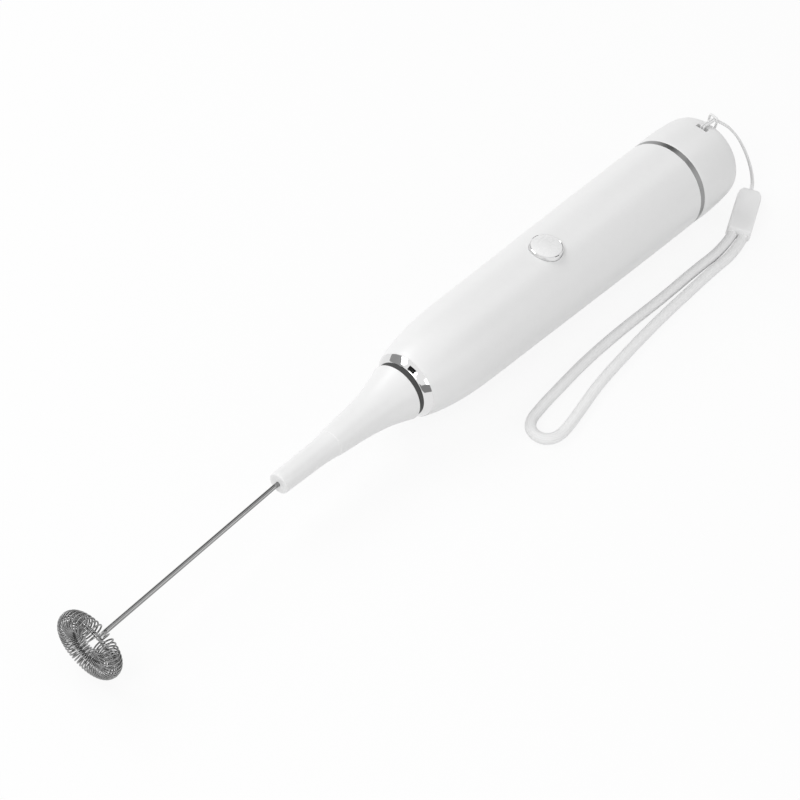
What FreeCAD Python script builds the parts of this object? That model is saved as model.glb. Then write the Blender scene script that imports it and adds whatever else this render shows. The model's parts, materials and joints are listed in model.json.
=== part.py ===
"""Hand-held battery milk frother, lying on its side.

Built about its own axis, which runs along X from the whisk (-X) to the rear cap (+X), with the
button facing +Z. Every shape is moved at the end so that the object stands on Z = 0 and is
centred on X = 0. All sizes are in millimetres.
"""
import FreeCAD
import Part
import math
import os

# ---------------------------------------------------------------- driving dimensions
BODY_SCALE = 1.0            # girth of the handle, cap and nose
WHISK_REACH = 108.6         # nose base to the whisk's centre, along the shaft
CAP_END = 138.5             # nose base to the cap's end face
WHISK_RADIUS = 9.6          # outside of the whisk
COIL_RADIUS = 2.39          # coil wire's centre about the core ring
COIL_WIRE = 0.42
COIL_TURNS = 47
COIL_EASE = 0.15            # how much wider the turns stand beside the spoke
COIL_GAP = 3.5              # degrees from the spoke to the coil's ends, on the outside
COIL_CLEARANCE = 0.05       # turns to the spoke that passes between them
SHAFT_D = 1.25
CORE_WIRE = 1.0
SHAFT_SLOPE_Y = 0.0235      # slope of the shaft outside the nozzle, against the handle's axis
SHAFT_SLOPE_Z = 0.0491

NOZZLE_END = -44.4
LEAN_START = NOZZLE_END - 1.6
BODY_FRONT = 3.9
BODY_REAR = 118.2
CAP_FRONT = 120.3
WALL = 1.8
BORE_R = 12.05 * BODY_SCALE  # rear bore of the body, for the cap's skirt
SKIRT_CLEARANCE = 0.08
SKIRT_R = BORE_R - SKIRT_CLEARANCE
SKIRT_FRONT = 112.0
SKIRT_INNER_R = SKIRT_R - 1.17
SPIGOT_R = 7.2 * BODY_SCALE  # nose spigot, which carries the gasket and the collar
COLLAR_BORE_R = 8.4 * BODY_SCALE

BUTTON_X = 59.9
BUTTON_D = 9.4
BUTTON_CLEARANCE = 0.08
BUTTON_HOLE_D = BUTTON_D + 2 * BUTTON_CLEARANCE
BUTTON_PROUD = 0.75         # the rim's height over the handle
BUTTON_STOP_GAP = 0.756     # flange to the inside of the handle
BUTTON_TRAVEL = 1.2

MOTOR_FRONT = 18.2
MOTOR_REAR = 43.0
MOTOR_R = 10.0
MOTOR_FLAT = 7.6

CELL_R = 5.25
CELL_LENGTH = 44.5
CELL_X = 73.5
CELL_Y = 5.35

STRING_D = 0.7
BRAID_D = 3.1
FERRULE_LENGTH = 19.6
FERRULE_WIDTH = 7.3
FERRULE_THICK = 4.6

# outer profiles, as (distance along the axis, radius)
NOSE_TIP = [(-43.9, 2.97), (-40.5, 3.03), (-35.9, 3.1), (-31.2, 3.2), (-28.0, 3.4), (-25.3, 3.7)]
NOSE_FLARE = [(-25.3, 3.82), (-21.8, 4.15), (-17.0, 4.55), (-12.1, 5.15), (-7.2, 6.05), (-3.0, 7.2), (0.0, 8.2)]
BODY_PROFILE = [
    (3.9, 9.6), (6.8, 10.45), (10.9, 11.3), (14.5, 11.85), (18.5, 12.28), (24.6, 12.62), (36.6, 12.85),
    (53.1, 13.1), (70.2, 13.41), (87.9, 13.69), (106.2, 13.91), (118.2, 14.0),
]
CAP_PROFILE = [(120.3, 14.03), (125.1, 14.18), (130.0, 14.07), (134.9, 13.74), (137.0, 13.4)]

AXIS_HEIGHT = max(r for _, r in CAP_PROFILE) * BODY_SCALE
RING_R = WHISK_RADIUS - COIL_RADIUS - COIL_WIRE / 2
SHAFT_LEAN = math.atan(math.hypot(SHAFT_SLOPE_Y, SHAFT_SLOPE_Z))
WHISK_CENTRE_X = LEAN_START - (WHISK_REACH + LEAN_START) * math.cos(SHAFT_LEAN)
WHISK_FRONT = WHISK_CENTRE_X - RING_R * math.sin(SHAFT_LEAN) - COIL_RADIUS - COIL_WIRE / 2
X_CENTRE = (CAP_END + WHISK_FRONT) / 2

X_AXIS = FreeCAD.Vector(1, 0, 0)
Z_AXIS = FreeCAD.Vector(0, 0, 1)


# ---------------------------------------------------------------- helpers
def vec(x, y=0.0, z=0.0):
    return FreeCAD.Vector(x, y, z)


def turned(outer, inner, smooth=True):
    """Solid turned about the X axis: outer and inner are (x, r) lists, front to rear."""
    edges = []
    runs = outer if isinstance(outer[0], list) else [outer]
    inner_runs = inner if inner and isinstance(inner[0], list) else [inner]
    chain = list(runs) + [list(reversed(run)) for run in reversed(inner_runs) if run]
    last = None
    first = None
    for run in chain:
        points = [vec(x, 0, r) for x, r in run]
        if first is None:
            first = points[0]
        if last is not None and last.distanceToPoint(points[0]) > 1e-6:
            edges.append(Part.makeLine(last, points[0]))
        if smooth and len(points) > 3:
            curve = Part.BSplineCurve()
            curve.interpolate(points)
            edges.append(curve.toShape())
        else:
            for start, end in zip(points, points[1:]):
                edges.append(Part.makeLine(start, end))
        last = points[-1]
    edges.append(Part.makeLine(last, first))
    face = Part.Face(Part.Wire(edges))
    solid = face.revolve(vec(0), X_AXIS, 360)
    return Part.Solid(solid.Shells[0]) if solid.ShapeType != "Solid" else solid


def rod(x0, x1, radius, y=0.0, z=0.0):
    return Part.makeCylinder(radius, x1 - x0, vec(x0, y, z), X_AXIS)


def tube(x0, x1, outer, inner, y=0.0, z=0.0):
    return rod(x0, x1, outer, y, z).cut(rod(x0 - 1, x1 + 1, inner, y, z))


def post(z0, z1, radius, x, y=0.0):
    return Part.makeCylinder(radius, z1 - z0, vec(x, y, z0), Z_AXIS)


def block(x0, x1, y0, y1, z0, z1):
    return Part.makeBox(x1 - x0, y1 - y0, z1 - z0, vec(x0, y0, z0))


def joined(shapes):
    result = shapes[0]
    for other in shapes[1:]:
        result = result.fuse(other)
    return result.removeSplitter()


def cut_all(shape, tools):
    for tool in tools:
        shape = shape.cut(tool)
    return shape


def radius_at(profile, x):
    for (x0, r0), (x1, r1) in zip(profile, profile[1:]):
        if x0 <= x <= x1:
            return r0 + (r1 - r0) * (x - x0) / (x1 - x0)
    return profile[-1][1]


def wider(profile, amount=0.0):
    return [(x, r * BODY_SCALE + amount) for x, r in profile]


def swept(points, radius, bend=None, name=None):
    """Round tube along straight runs that are joined by tangent arcs."""
    edges = []
    radii = []
    start = points[0]
    for index in range(1, len(points) - 1):
        corner = points[index]
        before = points[index - 1] - corner
        after = points[index + 1] - corner
        shorter = min(before.Length, after.Length)
        before.normalize()
        after.normalize()
        half = (math.pi - before.getAngle(after)) / 2
        arc_radius = bend or 0.45 * shorter / math.tan(half)
        reach = arc_radius * math.tan(half)
        enter = corner + before * reach
        leave = corner + after * reach
        middle_way = before + after
        middle_way.normalize()
        middle = corner + middle_way * (arc_radius / math.cos(half) - arc_radius)
        edges.append(Part.makeLine(start, enter))
        edges.append(Part.Arc(enter, middle, leave).toShape())
        radii.append(arc_radius)
        start = leave
    edges.append(Part.makeLine(start, points[-1]))
    path = Part.Wire(edges)
    heading = points[1] - points[0]
    ring = Part.Wire(Part.makeCircle(radius, points[0], heading))
    solid = path.makePipeShell([ring], True, False)
    if name:
        expected = math.pi * radius * radius * path.Length
        least = min(radii) if radii else 0
        print(f"{name}: length {path.Length:.1f}, least bend {least:.2f} "
              f"({least / (2 * radius):.1f} diameters), volume / (section x length) {solid.Volume / expected:.3f}")
    return solid


def beside(points, side, offset):
    """The same route, moved sideways and kept square to its direction."""
    moved = []
    for index, point in enumerate(points):
        ahead = points[min(index + 1, len(points) - 1)] - points[max(index - 1, 0)]
        ahead.normalize()
        side = side - ahead * side.dot(ahead)
        side.normalize()
        moved.append(point + side * offset)
    return moved


def wire_along(points, wire, faces=1):
    """Round wire whose centre runs smoothly through the points, in so many faces end to end."""
    curve = Part.BSplineCurve()
    curve.interpolate(points)
    first = curve.FirstParameter
    step = (curve.LastParameter - first) / faces
    path = Part.Wire([curve.toShape(first + step * face, first + step * (face + 1)) for face in range(faces)])
    heading = curve.tangent(curve.FirstParameter)[0]
    section = Part.Wire(Part.makeCircle(wire / 2, points[0], heading))
    return path.makePipeShell([section], True, True), path.Length


def coil_spring(start, heading, height, radius, wire, turns):
    """Open coil that stands on start along heading (X or Z), height over the wire's outside."""
    points = []
    rise = height - wire
    step_count = round(turns * 12)
    for step in range(step_count + 1):
        share = step / step_count
        angle = 2 * math.pi * turns * share
        along = wire / 2 + rise * share
        if heading.x:
            offset = vec(along, radius * math.cos(angle), radius * math.sin(angle))
        else:
            offset = vec(radius * math.cos(angle), radius * math.sin(angle), along)
        points.append(start + offset)
    return wire_along(points, wire)[0]


def group(shapes):
    return Part.makeCompound(shapes)


def m2_screw(place, heading):
    """M2 x 4.5 screw: place is under the head, heading is the way the shank points."""
    head = Part.makeCylinder(1.9, 1.2, place - heading * 1.2, heading)
    shank = Part.makeCylinder(1.0, 4.5, place, heading)
    recess = Part.makeBox(2.6, 0.5, 0.6, vec(-1.3, -0.25, 0))
    turn = FreeCAD.Rotation(Z_AXIS, heading)
    recess.Placement = FreeCAD.Placement(place - heading * 1.2, turn)
    cross = Part.makeBox(0.5, 2.6, 0.6, vec(-0.25, -1.3, 0))
    cross.Placement = FreeCAD.Placement(place - heading * 1.2, turn)
    return head.fuse(shank).cut(recess).cut(cross)


parts = {}

# ---------------------------------------------------------------- nose
nose_cavity = [(-26.0, 2.0), (-21.8, 2.4), (-17.0, 2.9), (-12.1, 3.6), (-7.2, 4.5), (-3.0, 5.6), (0.0, 6.2)]
nose = turned(
    [wider([(NOZZLE_END, 2.5), (NOZZLE_END + 0.15, 2.82), (NOZZLE_END + 0.5, 2.97)]), wider(NOSE_TIP),
     wider(NOSE_FLARE), [(0.0, SPIGOT_R), (6.0, SPIGOT_R)]],
    [[(NOZZLE_END, 1.7), (-36.0, 1.7)], [(-26.0, 1.7), (-26.0, 2.0 * BODY_SCALE)], wider(nose_cavity),
     [(0.0, SPIGOT_R - 1.0), (6.0, SPIGOT_R - 1.0)]],
)
parts["nose_cone"] = nose
parts["shaft_bush"] = tube(NOZZLE_END, -37.0, 1.7, SHAFT_D / 2 + 0.05)
parts["nose_gasket"] = tube(0.0, 1.8, 8.02 * BODY_SCALE, SPIGOT_R)
collar_outer = wider([(1.8, 8.15), (2.2, 8.4), (BODY_FRONT, 9.45)])
parts["chrome_collar"] = turned(
    collar_outer + [(BODY_FRONT, COLLAR_BORE_R), (7.2, COLLAR_BORE_R)], [(1.8, SPIGOT_R), (7.2, SPIGOT_R)],
    smooth=False)

# ---------------------------------------------------------------- handle
rear_sleeve_r = BORE_R + 0.75
body_inner = [(x, r - WALL) for x, r in wider(BODY_PROFILE) if 9.0 < x < 100.0]
body = turned(
    [wider(BODY_PROFILE)],
    [[(BODY_FRONT, COLLAR_BORE_R), (7.2, COLLAR_BORE_R)], body_inner, [(100.0, BORE_R), (113.5, BORE_R)],
     [(113.5, rear_sleeve_r), (BODY_REAR, rear_sleeve_r)]],
)
button_hole = post(8.0, 20.0 * BODY_SCALE, BUTTON_HOLE_D / 2, BUTTON_X)
parts["body_shell"] = body.cut(button_hole)
parts["rear_trim_ring"] = tube(113.5, BODY_REAR, rear_sleeve_r, BORE_R).fuse(
    tube(BODY_REAR, CAP_FRONT, 14.02 * BODY_SCALE, BORE_R)).removeSplitter()

# ---------------------------------------------------------------- motor
can_block = block(MOTOR_FRONT, MOTOR_REAR, -12, 12, -MOTOR_FLAT, MOTOR_FLAT)
can_hollow = rod(MOTOR_FRONT + 0.8, MOTOR_REAR + 1, MOTOR_R - 0.8).common(
    block(MOTOR_FRONT, MOTOR_REAR + 1, -12, 12, -MOTOR_FLAT + 0.8, MOTOR_FLAT - 0.8))
can = rod(MOTOR_FRONT, MOTOR_REAR, MOTOR_R).common(can_block).cut(can_hollow)
can = can.fuse(rod(MOTOR_FRONT - 2.0, MOTOR_FRONT, 3.0)).cut(rod(10, 25, 1.05))
screw_places = [(0.0, 5.6), (0.0, -5.6)]
for screw_y, screw_z in screw_places:
    can = can.cut(rod(MOTOR_FRONT - 1, MOTOR_FRONT + 1, 1.0, screw_y, screw_z))
parts["motor_can"] = can.removeSplitter()

magnet_ring = tube(22.0, 38.0, MOTOR_R - 0.85, 6.8)
parts["motor_magnets"] = group([
    magnet_ring.common(block(22, 38, 2, 12, -5.0, 5.0)),
    magnet_ring.common(block(22, 38, -12, -2, -5.0, 5.0)),
])
end_outline = block(MOTOR_REAR, 45.2, -12, 12, -MOTOR_FLAT, MOTOR_FLAT)
end_cap = rod(MOTOR_REAR, 45.2, MOTOR_R).common(end_outline).cut(rod(40, 47, 1.05))
terminal_slots = [block(40, 47, side * 5.5 - 0.3, side * 5.5 + 0.3, -1.5, 1.5) for side in (-1, 1)]
parts["motor_end_cap"] = cut_all(end_cap, terminal_slots)
parts["motor_terminals"] = group([
    block(MOTOR_REAR, 48.4, side * 5.5 - 0.3, side * 5.5 + 0.3, -1.5, 1.5) for side in (-1, 1)])
parts["motor_brushes"] = group([
    block(39.6, 41.6, side * 4.0 - 1.55, side * 4.0 + 1.55, -0.8, 0.8).fuse(
        block(41.6, MOTOR_REAR, side * 5.2 - 0.35, side * 5.2 + 0.35, -0.8, 0.8)) for side in (-1, 1)])
parts["motor_shaft"] = rod(9.0, 46.0, 1.0)

pole_cut = []
tooth_shapes = []
tooth_clearance = []
for pole in range(3):
    tooth = block(24.0, 36.0, -1.1, 1.1, 1.5, 5.8)
    tooth.rotate(vec(0), X_AXIS, 120 * pole)
    tooth_shapes.append(tooth)
    wide = block(20.0, 40.0, -1.2, 1.2, 0, 7)
    wide.rotate(vec(0), X_AXIS, 120 * pole)
    tooth_clearance.append(wide)
    gap = block(23.0, 37.0, -0.7, 0.7, 3, 8)
    gap.rotate(vec(0), X_AXIS, 120 * pole + 60)
    pole_cut.append(gap)
pole_shoes = cut_all(tube(24.0, 36.0, 6.4, 5.5), pole_cut)
core = joined([tube(24.0, 36.0, 2.6, 1.0), pole_shoes] + tooth_shapes)
parts["armature_core"] = core.cut(rod(20, 40, 1.0))
parts["armature_windings"] = cut_all(tube(23.0, 37.0, 5.4, 2.65), tooth_clearance)
parts["commutator"] = tube(38.6, 42.6, 2.4, 1.0)

bulkhead_r = radius_at(BODY_PROFILE, 14.5) * BODY_SCALE - WALL - 0.1
bulkhead = rod(14.5, MOTOR_FRONT, bulkhead_r).cut(rod(10, 20, 3.1))
for screw_y, screw_z in screw_places:
    bulkhead = bulkhead.cut(rod(10, 20, 1.0, screw_y, screw_z))
parts["motor_bulkhead"] = bulkhead
sleeve = rod(5.5, 13.5, 2.6).cut(rod(9.0, 20, 1.0)).cut(rod(0, 9.0, SHAFT_D / 2))
parts["coupling_sleeve"] = sleeve

# ---------------------------------------------------------------- whisk
whisk_x = -WHISK_REACH
lean_point = vec(LEAN_START)
lean = FreeCAD.Rotation(X_AXIS, vec(1, SHAFT_SLOPE_Y, SHAFT_SLOPE_Z))


def leant(point):
    """The point turned with the shaft, about its slight bend outside the nozzle."""
    return lean_point + lean.multVec(point - lean_point)


spoke_angle = math.radians(27)
spoke = vec(0, -math.sin(spoke_angle), math.cos(spoke_angle))
spoke_end = vec(whisk_x + 0.1) + spoke * (RING_R - 0.3)
shaft_route = [leant(spoke_end), leant(vec(whisk_x + 3.7)), lean_point, vec(8.9)]
parts["whisk_shaft"] = swept(shaft_route, SHAFT_D / 2, bend=3.0, name="whisk_shaft")
parts["whisk_ring"] = Part.makeTorus(RING_R, CORE_WIRE / 2, leant(vec(whisk_x)), lean.multVec(X_AXIS))
coil_gap = math.radians(COIL_GAP)
turn_angle = 2 * math.pi / COIL_TURNS * (1 + COIL_EASE)
spoke_room = math.asin((SHAFT_D / 2 + COIL_WIRE / 2 + COIL_CLEARANCE) / (RING_R - 0.88 * COIL_RADIUS))
push = max(spoke_room - coil_gap - 0.41 * turn_angle, 0) / 0.92
coil_start = coil_gap + push
coil_points = []
steps_per_turn = 10
step_count = COIL_TURNS * steps_per_turn
for step in range(step_count + 1):
    share = step / step_count
    eased = share + COIL_EASE * math.sin(2 * math.pi * share) / (2 * math.pi)
    turns_in = COIL_TURNS * min(share, 1 - share)
    back = push * math.cos(math.pi * min(turns_in, 0.5)) ** 2
    angle = spoke_angle + coil_start + (2 * math.pi - 2 * coil_start) * eased + (back if share > 0.5 else -back)
    roll = 2 * math.pi * COIL_TURNS * share
    radial = RING_R + COIL_RADIUS * math.cos(roll)
    coil_points.append(leant(vec(
        whisk_x + COIL_RADIUS * math.sin(roll), -radial * math.sin(angle), radial * math.cos(angle))))
coil, coil_length = wire_along(coil_points, COIL_WIRE, faces=COIL_TURNS)
print(f"whisk_coil: wire length {coil_length:.0f}, valid {coil.isValid()}, "
      f"volume / (section x length) {coil.Volume / (math.pi * COIL_WIRE ** 2 / 4 * coil_length):.3f}")
parts["whisk_coil"] = coil

# ---------------------------------------------------------------- chassis, cells and contacts
chassis_r = radius_at(BODY_PROFILE, 50.0) * BODY_SCALE - WALL - 0.3
lower_half = block(0, 130, -20, 20, -20, -3.0)
spine = tube(45.6, 69.5, chassis_r, chassis_r - 1.6).common(lower_half)
front_post = block(50.8, 54.2, -5.5, 5.5, -chassis_r + 2.2, 1.3)
rear_post = block(66.4, 68.6, -5.5, 5.5, -chassis_r + 2.2, 1.3)
board_holes = [(52.5, -3.6), (52.5, 3.6)]
chassis = joined([spine, front_post, rear_post])
for hole_x, hole_y in board_holes:
    chassis = chassis.cut(post(-2.4, 2.0, 1.0, hole_x, hole_y))
parts["inner_chassis"] = chassis

tray_r = radius_at(BODY_PROFILE, 70.2) * BODY_SCALE - WALL - 0.25
tray = rod(69.5, 111.5, tray_r).common(block(60, 120, -20, 20, -20, 0)).fuse(rod(69.5, 71.2, tray_r))
for side in (-1, 1):
    tray = tray.cut(rod(71.2, 120, CELL_R + 0.1, side * CELL_Y))
tray = tray.cut(block(75, 108, -3.2, 3.2, -20, -5)).removeSplitter()
parts["battery_tray"] = tray

cell_rear = CELL_X + CELL_LENGTH
for name, side, nub_forward in (("cell_left", -1, False), ("cell_right", 1, True)):
    if nub_forward:
        barrel = rod(CELL_X + 1.2, cell_rear, CELL_R, side * CELL_Y)
        nub = rod(CELL_X, CELL_X + 1.2, 1.9, side * CELL_Y)
    else:
        barrel = rod(CELL_X, cell_rear - 1.2, CELL_R, side * CELL_Y)
        nub = rod(cell_rear - 1.2, cell_rear, 1.9, side * CELL_Y)
    parts[name] = barrel.fuse(nub)

parts["front_contact_plate"] = joined([
    block(71.2, 71.6, CELL_Y - 4, CELL_Y + 4, -3.5, 3.5), rod(71.6, CELL_X, 1.6, CELL_Y)])
spring_seat = block(71.2, 71.6, -CELL_Y - 4, -CELL_Y + 4, -3.5, 3.5)
parts["front_contact_spring"] = group([spring_seat, coil_spring(vec(71.6, -CELL_Y, 0), X_AXIS, CELL_X - 71.6, 3.0, 0.5, 2.5)])

# ---------------------------------------------------------------- switch and button
button_r = BUTTON_D / 2
button_seat = radius_at(BODY_PROFILE, BUTTON_X) * BODY_SCALE
rim_top = button_seat + BUTTON_PROUD
flange_r = button_r + 0.9
flange_top = math.sqrt((button_seat - WALL) ** 2 - flange_r ** 2) - BUTTON_STOP_GAP
flange_base = flange_top - 0.8
spring_r = flange_r - 0.75
board_half = spring_r + 0.65
parts["switch_board"] = cut_all(
    block(50.0, 69.0, -board_half, board_half, 1.3, 2.5), [post(0, 4, 1.0, x, y) for x, y in board_holes])
switch_box = block(BUTTON_X - 2.8, BUTTON_X + 2.8, -2.8, 2.8, 2.5, 6.6)
parts["switch_body"] = switch_box.cut(post(4.2, 8.0, 1.66, BUTTON_X))
parts["switch_plunger"] = post(5.6, flange_base, 1.6, BUTTON_X)
parts["button_flange"] = post(flange_base, flange_top, flange_r, BUTTON_X)
cup = post(flange_top, rim_top, button_r, BUTTON_X)
cup = cup.makeFillet(0.18, [edge for edge in cup.Edges if edge.BoundBox.ZMin > rim_top - 0.1])
dome_r = button_r - 0.3
parts["button_rim"] = cup.cut(post(flange_top + 1.0, rim_top + 1.0, dome_r, BUTTON_X))
dome_rise = 0.75
sphere_r = (dome_r ** 2 + dome_rise ** 2) / (2 * dome_rise)
dome_top = Part.makeSphere(sphere_r, vec(BUTTON_X, 0, rim_top + dome_rise - sphere_r))
parts["button_dome"] = post(flange_top + 1.0, rim_top + 1.5, dome_r, BUTTON_X).common(dome_top)
parts["button_spring"] = coil_spring(vec(BUTTON_X, 0, 2.5), Z_AXIS, flange_base - 2.5, spring_r, 0.4, 5)

# ---------------------------------------------------------------- screws and wires
screws = [m2_screw(vec(14.5, y, z), X_AXIS) for y, z in screw_places]
screws += [m2_screw(vec(x, y, 2.5), vec(0, 0, -1)) for x, y in board_holes]
parts["m2_screws"] = group(screws)
wire_routes = {
    "wire_motor_switch": [vec(48.4, 5.5, 0.6), vec(49.6, 6.9, 2.0), vec(50.0, 6.9, 6.0), vec(53.0, 6.3, 7.0),
                          vec(55.4, 4.9, 2.95)],
    "wire_motor_cell": [vec(48.4, -5.5, -0.6), vec(51.0, -7.6, -2.2), vec(60.0, -8.3, -2.2), vec(67.8, -7.9, -1.4),
                        vec(69.3, -7.4, -1.0)],
    "wire_switch_cell": [vec(66.9, 4.6, 3.0), vec(67.4, 7.2, 3.4), vec(67.8, 8.0, 2.0), vec(69.0, 8.0, 0.6)],
}
for name, route in wire_routes.items():
    parts[name] = swept(route, 0.45, name=name)

# ---------------------------------------------------------------- rear cap
cap_outer = [(CAP_FRONT, 14.03)] + CAP_PROFILE[1:]
cap = turned(
    [[(SKIRT_FRONT, SKIRT_R - 0.4), (SKIRT_FRONT + 0.5, SKIRT_R), (CAP_FRONT, SKIRT_R)], wider(cap_outer),
     [(CAP_END - 0.7, 13.0 * BODY_SCALE), (CAP_END - 0.2, 12.4 * BODY_SCALE), (CAP_END, 11.6 * BODY_SCALE)],
     [(CAP_END, 0.0)]],
    [[(SKIRT_FRONT, SKIRT_INNER_R), (132.0, SKIRT_INNER_R)], [(132.0, 0.0), (132.1, 0.0)]],
)
seal_groove = tube(115.2, 116.4, SKIRT_R + 1.0, SKIRT_R - 0.92)
slot_floor = 10.4 * BODY_SCALE
slot = block(133.2, 134.9, -1.9, 1.9, slot_floor, 16.0 * BODY_SCALE)
passage = block(133.2, 141.0, -1.9, 1.9, slot_floor, slot_floor + 1.5)
parts["cap_shell"] = cap.cut(seal_groove).cut(slot).cut(passage)
parts["cap_seal"] = Part.makeTorus(SKIRT_R - 0.43, 0.49, vec(115.8), X_AXIS)
parts["cap_contact_carrier"] = rod(121.0, 123.4, SKIRT_INNER_R).cut(rod(122.0, 124.0, 8.5))
parts["cap_contact_plate"] = block(120.4, 121.0, -9.0, 9.0, -3.4, 3.4)
parts["cap_contact_stud"] = rod(cell_rear + 0.05, 120.4, 1.6, -CELL_Y)
cap_spring_height = 120.4 - cell_rear - 0.05
parts["cap_contact_spring"] = coil_spring(vec(cell_rear + 0.05, CELL_Y, 0), X_AXIS, cap_spring_height, 3.0, 0.5, 2.5)

# ---------------------------------------------------------------- lanyard
floor_z = -AXIS_HEIGHT
string_r = STRING_D / 2
hitch_side = 0.38
strand_hitch = [
    swept([vec(134.1, side * hitch_side, 11.9), vec(134.1, side * hitch_side, 14.35),
           vec(138.9, side * hitch_side - 0.5, 14.35)], string_r, bend=0.8)
    for side in (-1, 1)]
collar_route = [vec(134.1, 1.2, 11.15), vec(139.5, 1.25, 11.15), vec(139.4, 1.35, 15.25), vec(138.9, -1.75, 15.25),
                vec(139.5, -1.3, 11.15), vec(134.1, -1.2, 11.15)]
hitch_collar = swept(collar_route, string_r, bend=0.62, name="lanyard_hitch collar")
parts["lanyard_hitch"] = group(strand_hitch + [hitch_collar])

ferrule_way = vec(0.917, 0.400, 0)
ferrule_way.normalize()
ferrule_side = vec(-ferrule_way.y, ferrule_way.x, 0)
ferrule_base = vec(131.5, -22.0, floor_z + FERRULE_THICK / 2)
ferrule_top = ferrule_base + ferrule_way * FERRULE_LENGTH

string_route = [
    vec(138.9, -0.5, 14.35), vec(141.3, -3.0, 13.2), vec(144.6, -6.0, 9.2), vec(147.9, -8.4, 3.4),
    vec(151.0, -10.3, -3.2), vec(152.5, -11.7, -8.2), vec(152.3, -12.9, floor_z + 2.9), ferrule_top,
]
parts["lanyard_string"] = group([
    swept(beside(string_route, vec(0, 1, 0), side * 0.37), string_r, name="lanyard_string strand")
    for side in (-1, 1)])

def rounded_section(centre, across, width, height, corner):
    """Rounded rectangle, standing square to the ferrule, resting with its lower edge level."""
    half_w = width / 2 - corner
    half_h = height / 2 - corner
    edges = []
    corners = [(1, 1, 0), (-1, 1, 90), (-1, -1, 180), (1, -1, 270)]
    rim = []
    for sign_w, sign_h, start in corners:
        arc = []
        for turn in (0, 45, 90):
            angle = math.radians(start + turn)
            arc.append(centre + across * (sign_w * half_w + corner * math.cos(angle))
                       + Z_AXIS * (sign_h * half_h + corner * math.sin(angle)))
        rim.append(arc)
    for index, arc in enumerate(rim):
        edges.append(Part.Arc(*arc).toShape())
        edges.append(Part.makeLine(arc[-1], rim[(index + 1) % 4][0]))
    return Part.Wire(edges)


ferrule_sections = [(0.0, 6.9, 4.2, 1.3), (0.5, 7.3, 4.6, 1.5), (14.8, 7.3, 4.6, 1.5), (17.4, 6.6, 4.3, 1.4),
                    (FERRULE_LENGTH - 0.5, 4.7, 3.7, 1.3), (FERRULE_LENGTH, 4.1, 3.2, 1.2)]
ferrule_wires = []
for along, width, height, corner in ferrule_sections:
    ferrule_wires.append(rounded_section(
        ferrule_base + ferrule_way * along, ferrule_side, width * FERRULE_WIDTH / 7.3, height, corner))
parts["lanyard_ferrule"] = Part.makeLoft(ferrule_wires, True, True)

loop_z = floor_z + BRAID_D / 2
strand_gap = BRAID_D / 2 + 0.1
left_end = ferrule_base + ferrule_side * strand_gap
right_end = ferrule_base - ferrule_side * strand_gap
loop_spots = [
    (left_end.x, left_end.y), (123.2, -22.15), (110.0, -21.7), (94.0, -21.95), (74.0, -21.4), (57.5, -21.7),
    (44.0, -22.9), (34.2, -23.9), (28.4, -24.9), (25.6, -27.4), (25.6, -31.1), (28.4, -33.4), (32.8, -33.6),
    (40.8, -32.1), (52.5, -29.6), (67.0, -28.0), (84.5, -26.5), (101.0, -25.8), (115.5, -25.3), (124.4, -25.5),
    (right_end.x, right_end.y),
]
loop_route = [vec(x, y, loop_z) for x, y in loop_spots]
parts["wrist_loop"] = swept(loop_route, BRAID_D / 2, name="wrist_loop")

# ---------------------------------------------------------------- write
os.makedirs("parts", exist_ok=True)
lift = vec(-X_CENTRE, 0, AXIS_HEIGHT)
for name, shape in parts.items():
    placed = shape.copy()
    placed.translate(lift)
    placed.exportStep(f"parts/{name}.step")
    if not placed.isValid() or placed.Volume <= 0:
        print(f"check {name}: valid {placed.isValid()}, volume {placed.Volume:.2f}, solids {len(placed.Solids)}")
print(f"{len(parts)} parts, axis height {AXIS_HEIGHT:.2f}, centre shift {-X_CENTRE:.3f}")
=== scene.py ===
"""Hand-held battery milk frother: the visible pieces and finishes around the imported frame.

Every length is in metres, in the frame's own axes: +X from the whisk to the rear cap, +Z up.
"""
import json
import math

import bpy
from mathutils import Matrix, Vector


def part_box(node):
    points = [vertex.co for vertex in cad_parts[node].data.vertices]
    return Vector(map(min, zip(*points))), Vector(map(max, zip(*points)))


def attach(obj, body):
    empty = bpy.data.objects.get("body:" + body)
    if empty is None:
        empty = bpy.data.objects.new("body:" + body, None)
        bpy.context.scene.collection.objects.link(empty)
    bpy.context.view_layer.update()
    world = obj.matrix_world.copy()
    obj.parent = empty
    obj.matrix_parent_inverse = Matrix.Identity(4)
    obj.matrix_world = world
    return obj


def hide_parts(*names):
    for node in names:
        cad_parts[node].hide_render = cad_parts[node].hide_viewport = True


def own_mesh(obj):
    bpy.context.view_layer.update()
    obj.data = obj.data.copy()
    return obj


MM = 0.001
POINT_R = 0.0000002         # a ring this small is merged into a point
GRAIN_SCALE = 900.0         # fine grain of moulded plastic

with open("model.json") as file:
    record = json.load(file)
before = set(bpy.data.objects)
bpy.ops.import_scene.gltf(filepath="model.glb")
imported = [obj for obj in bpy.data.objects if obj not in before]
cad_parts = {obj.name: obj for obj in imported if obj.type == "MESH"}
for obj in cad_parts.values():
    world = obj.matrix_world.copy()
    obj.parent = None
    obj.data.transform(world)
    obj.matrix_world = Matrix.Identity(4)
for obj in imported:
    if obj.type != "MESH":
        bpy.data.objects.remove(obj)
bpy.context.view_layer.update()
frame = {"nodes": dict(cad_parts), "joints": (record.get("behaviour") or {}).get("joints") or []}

# ---------------------------------------------------------------- places, worked out from the frame
cap_low, cap_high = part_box("cap_shell")
body_low, body_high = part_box("body_shell")
button_low, button_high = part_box("button_rim")
AXIS = (cap_low[2] + cap_high[2]) / 2
NOSE_BASE = body_low[0] - 3.9 * MM
BUTTON_X = (button_low[0] + button_high[0]) / 2

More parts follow.
